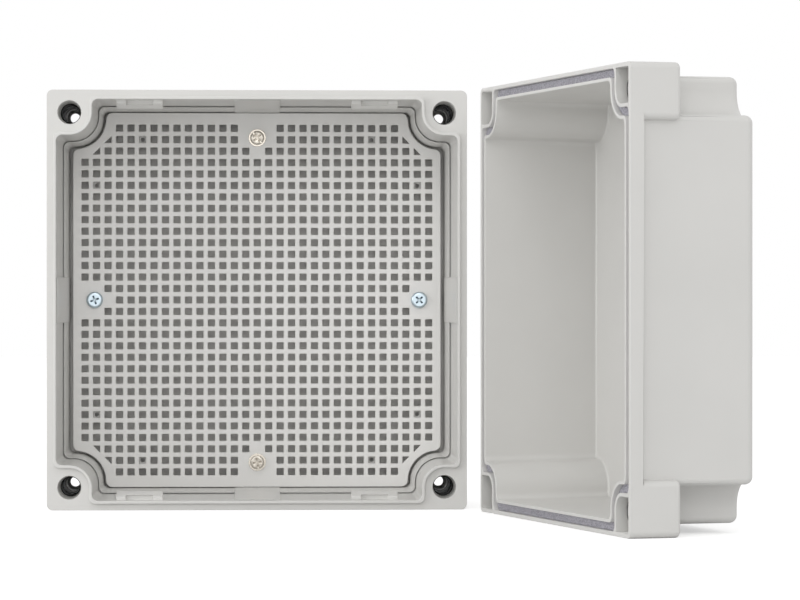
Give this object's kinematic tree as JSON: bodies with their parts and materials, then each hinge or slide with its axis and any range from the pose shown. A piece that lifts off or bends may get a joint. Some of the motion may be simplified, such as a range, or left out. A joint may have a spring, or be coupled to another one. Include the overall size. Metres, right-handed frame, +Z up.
{
  "type": "junction box",
  "caption": "Square moulded ABS junction box, taken apart: base with perforated mounting plate, and deep screw-down lid with foam gasket standing beside it.",
  "frame": {"origin": "centre of the base's flat back face, where it meets the wall", "axes": "+Y out of the back face into the wall, +Z up, +X to the right as seen looking into the open base; the lid stands to the right and in front"},
  "size_m": [0.434, 0.3921, 0.28],
  "materials": {
    "base_abs": "fine satin moulding",
    "lid_abs": "fine satin moulding",
    "plate_abs": "fine satin moulding",
    "gasket_foam": "open speckled foam",
    "insert_black": "threaded",
    "screw_grey": "satin",
    "retainer_black": "matt",
    "zinc": "blue zinc plated",
    "nickel": "nickel plated"
  },
  "bodies": {
    "base": {"base": "base_abs", "corner_insert_top_left": "insert_black", "corner_insert_top_right": "insert_black", "corner_insert_bottom_left": "insert_black", "corner_insert_bottom_right": "insert_black"},
    "plate": {"mounting_plate": "plate_abs", "plate_screw_left": "zinc", "plate_screw_right": "zinc", "plate_screw_top": "nickel", "plate_screw_bottom": "nickel", "plate_washer_top": "nickel", "plate_washer_bottom": "nickel"},
    "lid": {"lid": "lid_abs", "gasket": "gasket_foam", "screw_retainer_top_left": "retainer_black", "screw_retainer_top_right": "retainer_black", "screw_retainer_bottom_left": "retainer_black", "screw_retainer_bottom_right": "retainer_black"},
    "screw_top_left": {"lid_screw_top_left": "screw_grey"},
    "screw_top_right": {"lid_screw_top_right": "screw_grey"},
    "screw_bottom_left": {"lid_screw_bottom_left": "screw_grey"},
    "screw_bottom_right": {"lid_screw_bottom_right": "screw_grey"}
  },
  "joints": [
    {"name": "lid_swing", "type": "hinge", "parent": "base", "child": "lid", "pos_m": [0.1519, -0.1076, 0], "axis": [0, 0, 1], "range_deg": [-104.5, 0]},
    {"name": "plate_lift", "type": "slide", "parent": "base", "child": "plate", "axis": [0, -1, 0], "range_m": [0, 0.06]},
    {"name": "screw_travel_top_left", "type": "slide", "parent": "lid", "child": "screw_top_left", "axis": [-0.9681, -0.2504, 0], "range_m": [0, 0.016]},
    {"name": "screw_travel_top_right", "type": "slide", "parent": "lid", "child": "screw_top_right", "axis": [-0.9681, -0.2504, 0], "range_m": [0, 0.016]},
    {"name": "screw_travel_bottom_left", "type": "slide", "parent": "lid", "child": "screw_bottom_left", "axis": [-0.9681, -0.2504, 0], "range_m": [0, 0.016]},
    {"name": "screw_travel_bottom_right", "type": "slide", "parent": "lid", "child": "screw_bottom_right", "axis": [-0.9681, -0.2504, 0], "range_m": [0, 0.016]}
  ]
}
